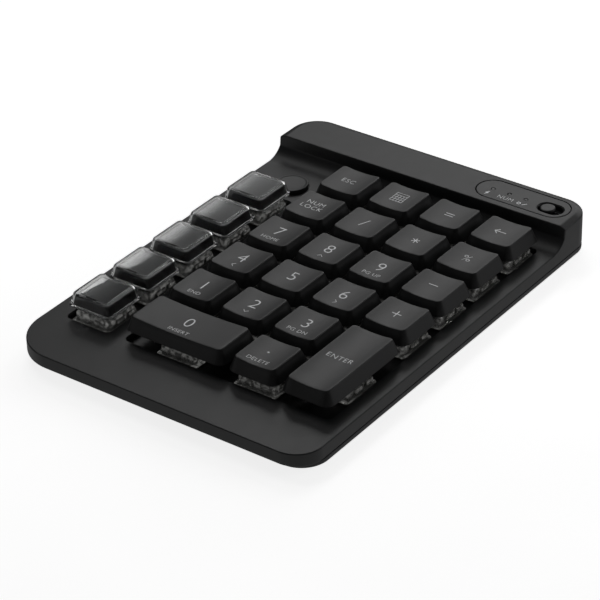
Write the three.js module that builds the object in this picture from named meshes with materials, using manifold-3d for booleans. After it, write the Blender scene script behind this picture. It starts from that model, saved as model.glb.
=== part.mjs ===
// A numeric keypad with a column of clear keys at its left.
//
// Millimetres, +Z up. The origin is on the desk, under the middle of the case.
// +X is the user's right and +Y points away from the user.

import * as THREE from "three";
import { ConvexGeometry } from "three/addons/geometries/ConvexGeometry.js";
import { mergeVertices } from "three/addons/utils/BufferGeometryUtils.js";
import Module from "manifold-3d";

const wasm = await Module();
wasm.setup();

// ---- Driving dimensions -------------------------------------------------

// Clearance between neighbouring pieces
const gap = 0.3;
// How far a cutting tool runs past the face it cuts
const overrun = 1;

// Key layout
const keyPitch = 19.05;
const keyTravel = 2.8;
const clearColumnGap = 4.1; // extra space beside the clear keys
const bottomRow = 5;
const lastColumn = 4;

// Case plan, measured outwards from the centres of the outermost keys
const sideMargin = 14.85;
const frontMargin = 29.25;
const rearMargin = 31;
const frontLeftRadius = 15.5;
const frontRightRadius = 9;
const rearRadius = 9.3;
const wallThickness = 2;
const frontSetback = 2.3; // how far the bottom cover stops short of the case's front

// Heights above the desk, from the bottom up
const footHeight = 1;
const coverBottom = 0.9;
const coverFloor = 1.9;
const coverTop = 2.4;
const caseBottom = coverTop + gap;
const boardBottom = coverFloor + gap;
const boardTop = boardBottom + 1;
const webBottom = boardTop + gap;
const webTop = webBottom + 0.4;
const plateBottom = webTop + gap;
const plateTop = plateBottom + 0.5;
const flangeBottom = plateTop + gap;
const flangeTop = flangeBottom + 0.5;
const deckTop = 7;
const housingTop = 9;
const capBottom = 10.4;
const capTop = 15;
const barTop = 14.1;

// Top case
const deckThickness = 1.6;
const deckEdgeRound = 0.6;
const barThickness = 2.3;
const barChamferWidth = 2.2;
const barChamferDrop = 0.9;
const sweepRadius = 8; // hollow curve between the deck and the bar
const sweepEndAngle = -Math.asin(0.6);
const faceLean = 0.1; // backward lean of the bar's face for each unit of height
const wellMargin = 9.1; // from a key's centre to the edge of its well
const clearWellMargin = 8.5;
const rearWellMargin = 7.85;
const wellRadius = 2;

// Keycaps
const capBase = 17.8;
const capTaper = 1.78; // how far each side leans in on the way up
const capCorner = 2.9;
const capWall = 1;
const capRoof = 1.4;
const dishSag = 0.6;
const stemRadius = 2.75;
const stemBottom = 7;
const stemSides = 8;

// Clear covers and the keys under them
const coverCapTop = 15.15;
const skirtBottom = 10.8;
const skirtWidth = 16.8;
const skirtDepth = 16.5;
const skirtHeight = 0.7;
const skirtLip = 0.5;
const clearTopWidth = 13.7;
const clearTopDepth = 14.4;
const clearWall = 0.5;
const clearCorner = 1.6;
const cupWall = 0.4;

// Switches
const housingWidth = 13;
const flangeWidth = 15;
const housingChamfer = 1;
const webWidth = 8;

// Stabiliser wires under the two long keys
const wireRadius = 0.4;
const armSpread = 12;
const armReach = 8;
const pivotHeight = 6.4;
const tipHeight = 9;
const tipLength = 2;
const clipSpread = 9.3;
const wirePostRadius = 1.6;

// Fasteners and feet
const screwX = 49.8;
const screwY = 58;
const screwHeadRadius = 2;
const shankRadius = 0.95;
const bossRadius = 2.5;
const footX = 43;
const footY = 67;
const footRadius = 4.5;

// Status panel and what works behind it
const panelLength = 33.3;
const panelWidth = 11.1;
const panelX = 34.45;
const panelThickness = 0.8;
const lightSpacing = 6.1;
const firstLightX = 23.3;
const lightRadius = 0.5;
const recessLength = 8.5;
const recessWidth = 5.8;
const recessX = 44.95;
const sliderY = 68.15;
const knobX = 43.9;
const knobRadius = 2.5;
const knobTop = 14.25;
const sliderTravel = 2.4;
const stalkWidth = 2;
const statusBoardBottom = 7;
const statusBoardTop = 8;
const socketX = 12;
const boardPostX = [18, 48];

// What lies flat inside the case
const sheetFront = -61.5;
const sheetRear = 57.7;
const batteryLeft = -45;
const batteryRight = -3;
const batteryDepth = 11;
const batteryHeight = 5.8;
const ribbonWidth = 5;
const ribbonThickness = 0.2;

// Raised disc on the deck behind the first clear key
const discX = -38.4;
const discY = 44.3;
const discRadius = 5.4;
const discTop = 8.4;

// ---- Sizes and places that follow from them -----------------------------

const caseWidth = lastColumn * keyPitch + clearColumnGap + 2 * sideMargin;
const caseDepth = bottomRow * keyPitch + frontMargin + rearMargin;
const deckCeiling = deckTop - deckThickness;
const barCeiling = barTop - barThickness;
const sweepY = caseDepth / 2 - 24;
const sweepZ = deckTop + sweepRadius;
const panelY = caseDepth / 2 - 9;
const pocketFloor = barTop - panelThickness - gap;
const recessFloor = barCeiling + 0.5;
const screwHoleRadius = shankRadius + gap;
const bossClearance = bossRadius + 3 * gap;

function columnX(column) {
  const shift = column > 0 ? clearColumnGap : 0;
  return -caseWidth / 2 + sideMargin + column * keyPitch + shift;
}

function rowY(row) {
  return caseDepth / 2 - rearMargin - row * keyPitch;
}

// ---- Key table ----------------------------------------------------------

const blackRows = [
  ["escape", "calculator", "equals", "backspace"],
  ["num_lock", "divide", "multiply", "percent"],
  ["7", "8", "9", "minus"],
  ["4", "5", "6", "plus"],
  ["1", "2", "3"],
];

function blackKey(label, column, row, columns = 1, rows = 1) {
  return { name: `key_${label}`, column, row, columns, rows, x: columnX(column), y: rowY(row) };
}

const blackKeys = blackRows.flatMap((labels, row) =>
  labels.map((label, index) => blackKey(label, index + 1, row))
);
const zeroKey = blackKey("0", 1.5, bottomRow, 2, 1);
const enterKey = blackKey("enter", lastColumn, 4.5, 1, 2);
blackKeys.push(enterKey, zeroKey, blackKey("decimal", 3, bottomRow));

const clearKeys = [1, 2, 3, 4, 5].map((row) => ({ number: row, x: columnX(0), y: rowY(row) }));

// ---- Solids -------------------------------------------------------------

// Turns a closed three.js geometry into a solid that can be joined and cut.
function solid(geometry) {
  const bare = geometry.clone();
  bare.deleteAttribute("normal");
  bare.deleteAttribute("uv");
  const merged = mergeVertices(bare, 1e-5);
  const index = merged.index.array;
  const triangles = [];
  for (let i = 0; i < index.length; i += 3) {
    const [a, b, c] = [index[i], index[i + 1], index[i + 2]];
    if (a !== b && b !== c && c !== a) triangles.push(a, b, c);
  }
  return new wasm.Manifold(
    new wasm.Mesh({
      numProp: 3,
      vertProperties: new Float32Array(merged.attributes.position.array),
      triVerts: new Uint32Array(triangles),
    })
  );
}

function geometryOf(body) {
  const mesh = body.asOriginal().simplify(0.002).getMesh();
  const geometry = new THREE.BufferGeometry();
  geometry.setAttribute("position", new THREE.BufferAttribute(mesh.vertProperties, 3));
  geometry.setIndex(new THREE.BufferAttribute(mesh.triVerts, 1));
  geometry.computeVertexNormals();
  return geometry;
}

function join(bodies) {
  return bodies.reduce((whole, body) => whole.add(body));
}

function cut(body, tools) {
  return tools.reduce((rest, tool) => rest.subtract(tool), body);
}

// A box from its middle in plan and its bottom and top heights
function block(x, y, width, depth, bottom, top) {
  const geometry = new THREE.BoxGeometry(width, depth, top - bottom);
  geometry.translate(x, y, (bottom + top) / 2);
  return solid(geometry);
}

// An upright round bar
function post(x, y, radius, bottom, top, sides = 12) {
  const geometry = new THREE.CylinderGeometry(radius, radius, top - bottom, sides);
  geometry.rotateX(Math.PI / 2);
  geometry.translate(x, y, (bottom + top) / 2);
  return solid(geometry);
}

// A straight length of round wire, run on by its own radius past both ends so
// that two lengths meet in a full corner
function rod(from, to, radius) {
  const direction = to.clone().sub(from);
  const length = direction.length() + 2 * radius;
  const shank = new THREE.CylinderGeometry(radius, radius, length, 6);
  const turn = new THREE.Quaternion().setFromUnitVectors(
    new THREE.Vector3(0, 1, 0),
    direction.clone().normalize()
  );
  shank.applyQuaternion(turn);
  shank.translate(...from.clone().add(to).multiplyScalar(0.5));
  return solid(shank);
}

function roundedRectangle(width, depth, radius, x = 0, y = 0) {
  const shape = new THREE.Shape();
  const corners = [
    [-1, -1, Math.PI],
    [1, -1, 1.5 * Math.PI],
    [1, 1, 0],
    [-1, 1, 0.5 * Math.PI],
  ];
  for (const [sideX, sideY, start] of corners) {
    const centreX = x + sideX * (width / 2 - radius);
    const centreY = y + sideY * (depth / 2 - radius);
    shape.absarc(centreX, centreY, radius, start, start + Math.PI / 2, false);
  }
  return shape;
}

// A long shape with round ends, lying along X
function pill(length, width, x = 0, y = 0) {
  const shape = new THREE.Shape();
  const reach = (length - width) / 2;
  shape.absarc(x + reach, y, width / 2, -Math.PI / 2, Math.PI / 2, false);
  shape.absarc(x - reach, y, width / 2, Math.PI / 2, 1.5 * Math.PI, false);
  return shape;
}

function circle(radius) {
  const shape = new THREE.Shape();
  for (let quarter = 0; quarter < 4; quarter += 1) {
    const start = (quarter * Math.PI) / 2;
    shape.absarc(0, 0, radius, start, start + Math.PI / 2, false);
  }
  return shape;
}

function slab(shape, bottom, top, curveSegments = 5) {
  const geometry = new THREE.ExtrudeGeometry(shape, {
    depth: top - bottom,
    bevelEnabled: false,
    curveSegments,
  });
  geometry.translate(0, 0, bottom);
  return solid(geometry);
}

// A slab whose sides lean in by `inset` over the last `drop` of its height:
// straight with one step, rounded with more.
function leaningSlab(shape, bottom, top, inset, drop, steps = 1, curveSegments = 3) {
  const start = bottom - overrun;
  const geometry = new THREE.ExtrudeGeometry(shape, {
    depth: top - drop - start,
    bevelEnabled: true,
    bevelSize: inset,
    bevelOffset: -inset,
    bevelThickness: drop,
    bevelSegments: steps,
    curveSegments,
  });
  geometry.translate(0, 0, start);
  const reach = 4 * caseDepth;
  return solid(geometry).subtract(block(0, 0, reach, reach, start - drop - overrun, bottom));
}

// The convex solid between a lower outline and an upper one
function hull(lower, bottom, upper, top, curveSegments = 2) {
  const lift = (shape, z) =>
    shape.getPoints(curveSegments).map((point) => new THREE.Vector3(point.x, point.y, z));
  return solid(new ConvexGeometry([...lift(lower, bottom), ...lift(upper, top)]));
}

// Carries a side view, drawn with Y across and Z up, from `left` to `right` along X.
function sideSlab(shape, left, right, curveSegments = 6) {
  const geometry = new THREE.ExtrudeGeometry(shape, {
    depth: right - left,
    bevelEnabled: false,
    curveSegments,
  });
  geometry.rotateX(Math.PI / 2);
  geometry.rotateZ(Math.PI / 2);
  geometry.translate(left, 0, 0);
  return solid(geometry);
}

// ---- Assembly -----------------------------------------------------------

const keypad = new THREE.Group();

const finishes = {
  case: { color: 0x3c3d3f, roughness: 0.55, metalness: 0 },
  keycap: { color: 0x2c2d2f, roughness: 0.6, metalness: 0 },
  clear: { color: 0xdfe6e8, roughness: 0.08, metalness: 0, transparent: true, opacity: 0.35 },
  keyBase: { color: 0x1d1e20, roughness: 0.5, metalness: 0 },
  housing: { color: 0x4a4c50, roughness: 0.45, metalness: 0 },
  steel: { color: 0x8f9295, roughness: 0.35, metalness: 1 },
  blackSteel: { color: 0x1a1a1c, roughness: 0.5, metalness: 0.6 },
  board: { color: 0x16331f, roughness: 0.5, metalness: 0 },
  rubber: { color: 0x121212, roughness: 0.9, metalness: 0 },
  panel: { color: 0x343537, roughness: 0.35, metalness: 0 },
  foil: { color: 0xb9bbbd, roughness: 0.4, metalness: 0.7 },
  flex: { color: 0x6e4a1c, roughness: 0.5, metalness: 0 },
};

function place(name, geometry, finish, x = 0, y = 0) {
  const mesh = new THREE.Mesh(geometry, new THREE.MeshStandardMaterial(finishes[finish]));
  mesh.name = name;
  mesh.position.set(x, y, 0);
  keypad.add(mesh);
}

// ---- Case ---------------------------------------------------------------

// Plan of the case, drawn in by `inset`; `setback` moves only its front edge.
function caseOutline(inset = 0, setback = 0) {
  const shape = new THREE.Shape();
  const corners = [
    [-1, -1, frontLeftRadius, Math.PI],
    [1, -1, frontRightRadius, 1.5 * Math.PI],
    [1, 1, rearRadius, 0],
    [-1, 1, rearRadius, 0.5 * Math.PI],
  ];
  for (const [sideX, sideY, radius, start] of corners) {
    const x = sideX * (caseWidth / 2 - radius);
    const y = sideY * (caseDepth / 2 - radius) + (sideY < 0 ? setback : 0);
    shape.absarc(x, y, radius - inset, start, start + Math.PI / 2, false);
  }
  return shape;
}

// Side view of the bar and the hollow curve in front of it, drawn in by `inset`
function barProfile(inset, top) {
  const radius = sweepRadius + inset;
  const footY = sweepY + radius * Math.cos(sweepEndAngle);
  const footZ = sweepZ + radius * Math.sin(sweepEndAngle);
  const shape = new THREE.Shape();
  shape.moveTo(sweepY, 0);
  shape.absarc(sweepY, sweepZ, radius, -Math.PI / 2, sweepEndAngle, false);
  shape.lineTo(footY + faceLean * (top - footZ), top);
  shape.lineTo(caseDepth, top);
  shape.lineTo(caseDepth, 0);
  return shape;
}

// The bar's own material, or with `inset` the room inside it
function barBody(outline, inset, top) {
  return outline.intersect(sideSlab(barProfile(inset, top), -caseWidth, caseWidth));
}

// Two wells let the keys through: one for the clear column, one for the rest.
function wells() {
  const bottom = deckCeiling - overrun;
  const top = deckTop + overrun;
  const openings = [
    [columnX(1) - wellMargin, columnX(lastColumn) + wellMargin, rowY(0) + rearWellMargin],
    [columnX(0) - clearWellMargin, columnX(0) + clearWellMargin, rowY(1) + clearWellMargin],
  ];
  return openings.map(([left, right, rear]) => {
    const front = rowY(bottomRow) - wellMargin;
    const x = (left + right) / 2;
    const y = (front + rear) / 2;
    return slab(roundedRectangle(right - left, rear - front, wellRadius, x, y), bottom, top, 2);
  });
}

const screwPlaces = [
  [-screwX, -screwY],
  [screwX, -screwY],
  [-screwX, screwY],
  [screwX, screwY],
];

const footPlaces = [
  [-footX, -footY],
  [footX, -footY],
  [-footX, footY],
  [footX, footY],
];

const lightPlaces = [0, 1, 2].map((index) => firstLightX + index * lightSpacing);

const socketHeight = 3.1;
const socketWidth = 8.9;
const socketZ = statusBoardTop + gap + socketHeight / 2;

// An opening or a plug with the socket's rounded outline, running along Y
function socketSlab(extra, front, rear) {
  const geometry = new THREE.ExtrudeGeometry(pill(socketWidth + extra, socketHeight + extra), {
    depth: rear - front,
    bevelEnabled: false,
    curveSegments: 6,
  });
  geometry.rotateX(Math.PI / 2);
  geometry.translate(socketX, rear, socketZ);
  return solid(geometry);
}

function topCase() {
  const outerCurve = 6;
  const deck = leaningSlab(
    caseOutline(), caseBottom, deckTop, deckEdgeRound, deckEdgeRound, 2, outerCurve
  );
  const tall = leaningSlab(
    caseOutline(), caseBottom, barTop, barChamferWidth, barChamferDrop, 1, outerCurve
  );
  const outside = deck.add(barBody(tall, 0, barTop + overrun));

  const below = caseBottom - overrun;
  const room = slab(caseOutline(wallThickness), below, deckCeiling, 4);
  const tallRoom = slab(caseOutline(wallThickness), below, barCeiling, 4);
  const inside = room.add(barBody(tallRoom, deckThickness, barCeiling + overrun));

  const bosses = screwPlaces.map(([x, y]) =>
    post(x, y, bossRadius, caseBottom, barCeiling).intersect(outside)
  );
  const screwHoles = screwPlaces.map(([x, y]) =>
    post(x, y, screwHoleRadius, below, deckCeiling + 0.6, 8)
  );
  const shell = join([outside.subtract(inside), ...bosses]);

  const panelPocket = slab(
    pill(panelLength + 2 * gap, panelWidth + 2 * gap, panelX, panelY),
    pocketFloor, barTop + overrun
  );
  const lightHoles = lightPlaces.map((x) =>
    post(x, panelY, lightRadius + gap, barCeiling - overrun, barTop, 8)
  );
  const slotLength = stalkWidth + sliderTravel + 2 * gap;
  const slot = block(
    knobX + sliderTravel / 2, sliderY, slotLength, stalkWidth + 2 * gap,
    barCeiling - overrun, barTop
  );
  const recessWell = slab(recessOutline(), recessFloor, barTop);
  const discPocket = post(discX, discY, discRadius + gap, deckTop - 0.5, deckTop + overrun, 16);
  const socketOpening = socketSlab(2 * gap, caseDepth / 2 - 2 * wallThickness, caseDepth);
  return cut(shell, [
    ...wells(), ...screwHoles, panelPocket, ...lightHoles, recessWell, slot, discPocket,
    socketOpening,
  ]);
}

function bottomCover() {
  const counterboreTop = 1.7;
  const padRadius = 3;
  const rimWidth = 2;
  const footPocketTop = footHeight + gap;
  const tray = slab(caseOutline(0, frontSetback), coverBottom, coverTop, 6).subtract(
    slab(caseOutline(rimWidth, frontSetback), coverFloor, coverTop + overrun, 4)
  );
  const pads = screwPlaces.map(([x, y]) => post(x, y, padRadius, coverFloor - 0.1, coverTop));
  const boardPosts = boardPostX.map((x) =>
    post(x, panelY, 1.5, coverFloor - 0.1, statusBoardBottom - gap, 8)
  );
  const below = coverBottom - overrun;
  const holes = screwPlaces.map(([x, y]) => post(x, y, screwHoleRadius, below, caseBottom, 8));
  const counterbores = screwPlaces.map(([x, y]) =>
    post(x, y, screwHeadRadius + gap, below, counterboreTop)
  );
  const footPockets = footPlaces.map(([x, y]) =>
    post(x, y, footRadius + gap, below, footPocketTop, 16)
  );
  return cut(join([tray, ...pads, ...boardPosts]), [...holes, ...counterbores, ...footPockets]);
}

function screw() {
  const headBottom = coverBottom + 0.05;
  const headTop = headBottom + 0.45;
  const tip = deckCeiling + gap;
  const profile = [
    [0, headBottom],
    [screwHeadRadius, headBottom],
    [screwHeadRadius, headTop],
    [shankRadius, headTop],
    [shankRadius, tip - 0.5],
    [0, tip],
  ];
  const geometry = new THREE.LatheGeometry(profile.map(([r, z]) => new THREE.Vector2(r, z)), 12);
  geometry.rotateX(Math.PI / 2);
  const crossLength = 2;
  const crossWidth = 0.5;
  const crossTop = headBottom + 0.2;
  return cut(solid(geometry), [
    block(0, 0, crossLength, crossWidth, coverBottom - overrun, crossTop),
    block(0, 0, crossWidth, crossLength, coverBottom - overrun, crossTop),
  ]);
}

function foot() {
  return leaningSlab(circle(footRadius), 0, footHeight, 0.3, 0.3, 1, 3);
}

place("top_case", geometryOf(topCase()), "case");
place("bottom_cover", geometryOf(bottomCover()), "case");

const cornerNames = ["front_left", "front_right", "rear_left", "rear_right"];
const screwGeometry = geometryOf(screw());
const footGeometry = geometryOf(foot());
cornerNames.forEach((corner, index) => {
  place(`screw_${corner}`, screwGeometry, "blackSteel", ...screwPlaces[index]);
  place(`foot_${corner}`, footGeometry, "rubber", ...footPlaces[index]);
});

// ---- Badge disc, status panel and slider --------------------------------

function badgeDisc() {
  const rimRound = 0.4;
  const disc = leaningSlab(circle(discRadius), deckTop - 0.2, discTop, rimRound, rimRound, 2, 4);
  return disc.translate(discX, discY, 0);
}

function recessOutline() {
  return pill(recessLength, recessWidth, recessX, sliderY);
}

function statusPanel() {
  const bottom = barTop - panelThickness;
  const plate = slab(pill(panelLength, panelWidth, panelX, panelY), bottom, barTop, 6);
  const holes = lightPlaces.map((x) =>
    post(x, panelY, lightRadius + gap, bottom - overrun, barTop + overrun, 8)
  );
  const recess = slab(recessOutline(), bottom - overrun, barTop + overrun, 6);
  return cut(plate, [...holes, recess]);
}

// The knob above the panel, its stalk, and the shoe that keeps it from pulling out
function slider() {
  const knobBottom = pocketFloor + gap;
  const shoeTop = barCeiling - gap;
  const knob = leaningSlab(circle(knobRadius), knobBottom, knobTop, 0.25, 0.25, 1, 3);
  const stalk = block(0, 0, stalkWidth, stalkWidth, shoeTop - 0.1, knobBottom + 0.1);
  const shoe = block(0, 0, 4.4, 4.6, shoeTop - 1, shoeTop);
  return join([knob, stalk, shoe]);
}

function lightGuide() {
  const barBottom = statusBoardTop + 1.3;
  const barHeight = 1.2;
  const middle = lightPlaces[1];
  const carrier = block(middle, panelY, 2 * lightSpacing + 3, 2, barBottom, barBottom + barHeight);
  const pips = lightPlaces.map((x) =>
    post(x, panelY, lightRadius, barBottom + barHeight / 2, barTop - 0.05, 8)
  );
  return join([carrier, ...pips]);
}

// The board behind the panel, with its three lamps and the switch under the slider
function statusBoard() {
  const left = 4;
  const right = 49.8;
  const depth = 10;
  const sheet = block(
    (left + right) / 2, panelY, right - left, depth, statusBoardBottom, statusBoardTop
  );
  const lamps = lightPlaces.map((x) =>
    block(x, panelY, 1.6, 0.8, statusBoardTop - 0.1, statusBoardTop + 0.7)
  );
  const switchTop = barCeiling - 2 * gap - 1;
  const slideSwitch = block(recessX, sliderY, 8, 4, statusBoardTop - 0.1, switchTop);
  return join([sheet, ...lamps, slideSwitch]);
}

function usbSocket() {
  const rear = caseDepth / 2 - 0.6;
  const length = 7.3;
  const shellThickness = 0.3;
  const shell = socketSlab(0, rear - length, rear);
  const mouth = socketSlab(-2 * shellThickness, rear - length + 1, rear + overrun);
  const tongue = new THREE.BoxGeometry(6.7, length - 1.5, 0.7);
  tongue.translate(socketX, rear - length / 2 - 0.5, socketZ);
  return shell.subtract(mouth).add(solid(tongue));
}

function battery() {
  const bottom = coverFloor + gap;
  const outline = roundedRectangle(
    batteryRight - batteryLeft, batteryDepth, 1.5, (batteryLeft + batteryRight) / 2, panelY
  );
  return leaningSlab(outline, bottom, bottom + batteryHeight, 0.8, 0.8, 1, 2);
}

// A ribbon that climbs from the main board to the status board
function flexCable() {
  const x = (columnX(3) + columnX(4)) / 2;
  const low = boardTop + gap;
  const high = statusBoardBottom - gap - ribbonThickness;
  const [start, bendStart, bendEnd, end] = [54.5, 59, 65, 69];
  const centreLine = new THREE.CurvePath();
  const point = (y, z) => new THREE.Vector2(y, z);
  centreLine.add(new THREE.LineCurve(point(start, low), point(bendStart, low)));
  const middle = (bendStart + bendEnd) / 2;
  centreLine.add(
    new THREE.CubicBezierCurve(
      point(bendStart, low), point(middle, low), point(middle, high), point(bendEnd, high)
    )
  );
  centreLine.add(new THREE.LineCurve(point(bendEnd, high), point(end, high)));
  const lower = centreLine.getPoints(8);
  const upper = lower.map(({ x: y, y: z }) => point(y, z + ribbonThickness)).reverse();
  const ribbon = new THREE.Shape([...lower, ...upper]);
  return sideSlab(ribbon, x - ribbonWidth / 2, x + ribbonWidth / 2);
}

place("badge_disc", geometryOf(badgeDisc()), "panel");
place("status_panel", geometryOf(statusPanel()), "panel");
place("mode_slider", geometryOf(slider()), "keycap", knobX, sliderY);
place("light_guide", geometryOf(lightGuide()), "clear");
place("status_board", geometryOf(statusBoard()), "board");
place("usb_socket", geometryOf(usbSocket()), "steel");
place("battery", geometryOf(battery()), "foil");
place("flex_cable", geometryOf(flexCable()), "flex");

// ---- Boards and switches ------------------------------------------------

// A flat sheet that fills the case, notched round the four screw bosses
function innerSheet(bottom, top) {
  const width = caseWidth - 2 * (wallThickness + 2 * gap);
  const outline = roundedRectangle(
    width, sheetRear - sheetFront, wellRadius, 0, (sheetFront + sheetRear) / 2
  );
  const notches = screwPlaces.map(([x, y]) =>
    post(x, y, bossClearance, bottom - overrun, top + overrun)
  );
  return cut(slab(outline, bottom, top, 3), notches);
}

function circuitBoard() {
  return innerSheet(boardBottom, boardTop);
}

const allKeys = [...blackKeys, ...clearKeys];

// Two notched clips hold the bar of a stabiliser wire. `along` is 1 for a bar
// that runs along X and 0 for one along Y; (x, y) is the bar's middle.
function wireClips(x, y, along) {
  const clipTop = 7.2;
  const clipWidth = 2.4;
  const notchWidth = 2 * (wireRadius + gap);
  const notchBottom = pivotHeight - wireRadius - gap;
  return [-1, 1].map((side) => {
    const clipX = x + along * side * clipSpread;
    const clipY = y + (1 - along) * side * clipSpread;
    const body = block(clipX, clipY, clipWidth, clipWidth, plateTop - 0.1, clipTop);
    const notchX = along ? clipWidth + overrun : notchWidth;
    const notchY = along ? notchWidth : clipWidth + overrun;
    return body.subtract(block(clipX, clipY, notchX, notchY, notchBottom, clipTop + overrun));
  });
}

const zeroPivotY = zeroKey.y + armReach;
const enterPivotX = enterKey.x - armReach;

function switchPlate() {
  const holeWidth = housingWidth + 2 * gap;
  const holes = allKeys.map(({ x, y }) =>
    block(x, y, holeWidth, holeWidth, plateBottom - overrun, plateTop + overrun)
  );
  const clips = [
    ...wireClips(zeroKey.x, zeroPivotY, 1),
    ...wireClips(enterPivotX, enterKey.y, 0),
  ];
  return join([cut(innerSheet(plateBottom, plateTop), holes), ...clips]);
}

// One switch: a square housing with a flange that rests on the plate
function switchHousing({ x, y }) {
  const plan = (width) => roundedRectangle(width, width, 0, x, y);
  const shoulder = housingTop - housingChamfer;
  const lower = block(x, y, housingWidth, housingWidth, webBottom, shoulder);
  const upper = hull(
    plan(housingWidth), shoulder, plan(housingWidth - 2 * housingChamfer), housingTop, 1
  );
  const flange = block(x, y, flangeWidth, flangeWidth, flangeBottom, flangeTop);
  return join([lower, upper, flange]);
}

// The switches of one column, joined under the plate by a thin web
function switchBank(keys) {
  const webs = keys.slice(1).flatMap((key, index) => {
    const from = keys[index];
    const alongY = block(
      from.x, (from.y + key.y) / 2, webWidth, from.y - key.y + webWidth, webBottom, webTop
    );
    const shift = Math.abs(key.x - from.x);
    const alongX = block(
      (from.x + key.x) / 2, key.y, shift + webWidth, webWidth, webBottom, webTop
    );
    return shift > 0 ? [alongY, alongX] : [alongY];
  });
  const housings = keys.map(switchHousing);
  const stemWells = keys.map(({ x, y }) =>
    post(x, y, stemRadius + 2 * gap, webTop, housingTop + overrun, stemSides)
  );
  return cut(join([...housings, ...webs]), stemWells);
}

place("circuit_board", geometryOf(circuitBoard()), "board");
place("switch_plate", geometryOf(switchPlate()), "blackSteel");
place("clear_switch_bank", geometryOf(switchBank(clearKeys)), "housing");
for (let column = 1; column <= lastColumn; column += 1) {
  const keys = blackKeys.filter((key) => Math.floor(key.column) === column);
  keys.sort((a, b) => a.row - b.row);
  place(`switch_bank_${column}`, geometryOf(switchBank(keys)), "housing");
}

// ---- Black keycaps ------------------------------------------------------

// A tool that hollows the top of a cap to an arc, `dishSag` deep across its width
function dishTool(topWidth, length) {
  const radius = (topWidth ** 2 / 4 + dishSag ** 2) / (2 * dishSag);
  const halfAngle = 1.15 * Math.asin(topWidth / 2 / radius);
  const shape = new THREE.Shape();
  const down = -Math.PI / 2;
  shape.absarc(0, radius - dishSag, radius, down - halfAngle, down + halfAngle, false);
  const geometry = new THREE.ExtrudeGeometry(shape, {
    depth: length + 2 * overrun,
    bevelEnabled: false,
    curveSegments: 5,
  });
  geometry.rotateX(Math.PI / 2);
  geometry.translate(0, length / 2 + overrun, capTop);
  return solid(geometry);
}

// Plan of a cap at height z; `wall` draws it in from the outer surface.
function capPlan(width, depth, z, wall) {
  const lean = (capTaper * (z - capBottom)) / (capTop - capBottom) + wall;
  return roundedRectangle(width - 2 * lean, depth - 2 * lean, capCorner - lean);
}

function keycap({ columns, rows }) {
  const width = capBase + (columns - 1) * keyPitch;
  const depth = capBase + (rows - 1) * keyPitch;
  const roomBottom = capBottom - overrun;
  const roomTop = capTop - capRoof;
  const outside = hull(
    capPlan(width, depth, capBottom, 0), capBottom, capPlan(width, depth, capTop, 0), capTop
  );
  const inside = hull(
    capPlan(width, depth, roomBottom, capWall), roomBottom,
    capPlan(width, depth, roomTop, capWall), roomTop, 1
  );
  const stem = post(0, 0, stemRadius, stemBottom, roomTop + 0.1, stemSides);
  const wirePostBottom = tipHeight + wireRadius + gap;
  const spreads = columns > 1 || rows > 1 ? [-1, 1] : [];
  const wirePosts = spreads.map((side) =>
    post(
      columns > 1 ? side * armSpread : 0, rows > 1 ? side * armSpread : 0,
      wirePostRadius, wirePostBottom, roomTop + 0.1, 8
    )
  );
  const shell = outside.subtract(inside).subtract(dishTool(width - 2 * capTaper, depth));
  return join([shell, stem, ...wirePosts]);
}

const singleCap = geometryOf(keycap({ columns: 1, rows: 1 }));
for (const key of blackKeys) {
  const single = key.columns === 1 && key.rows === 1;
  const geometry = single ? singleCap : geometryOf(keycap(key));
  place(key.name, geometry, "keycap", key.x, key.y);
}

// ---- Clear keys ---------------------------------------------------------

// Plan of a clear cover at height z; `wall` draws it in from the outer surface.
function coverPlan(z, wall) {
  const rise = (z - skirtBottom) / (coverCapTop - skirtBottom);
  const width = THREE.MathUtils.lerp(skirtWidth - 2 * skirtLip, clearTopWidth, rise);
  const depth = THREE.MathUtils.lerp(skirtDepth - 2 * skirtLip, clearTopDepth, rise);
  const corner = Math.max(clearCorner - wall, 0.2);
  return roundedRectangle(width - 2 * wall, depth - 2 * wall, corner);
}

function clearCover() {
  const roomBottom = skirtBottom - overrun;
  const roomTop = coverCapTop - clearWall;
  const outside = hull(coverPlan(skirtBottom, 0), skirtBottom, coverPlan(coverCapTop, 0), coverCapTop);
  const inside = hull(
    coverPlan(roomBottom, clearWall), roomBottom, coverPlan(roomTop, clearWall), roomTop, 1
  );
  const lip = slab(
    roundedRectangle(skirtWidth, skirtDepth, clearCorner), skirtBottom, skirtBottom + skirtHeight, 2
  );
  return outside.add(lip).subtract(inside);
}

// The dark cup that a clear cover snaps over. Pressed down, its thin wall passes
// outside the switch housing and its roof stops just above it.
function clearKeyBase() {
  const slack = clearWall + gap;
  const top = coverCapTop - clearWall - gap;
  const roomBottom = skirtBottom - overrun;
  const roomTop = housingTop + keyTravel + 2 * gap;
  const outside = hull(coverPlan(skirtBottom, slack), skirtBottom, coverPlan(top, slack), top, 1);
  const room = hull(
    coverPlan(roomBottom, slack + cupWall), roomBottom,
    coverPlan(roomTop, slack + cupWall), roomTop, 1
  );
  const stem = post(0, 0, stemRadius, stemBottom, roomTop + 0.1, stemSides);
  return outside.subtract(room).add(stem);
}

const coverGeometry = geometryOf(clearCover());
const baseGeometry = geometryOf(clearKeyBase());
for (const { number, x, y } of clearKeys) {
  place(`clear_cover_${number}`, coverGeometry, "clear", x, y);
  place(`clear_key_base_${number}`, baseGeometry, "keyBase", x, y);
}

// ---- Stabiliser wires ---------------------------------------------------

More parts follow.
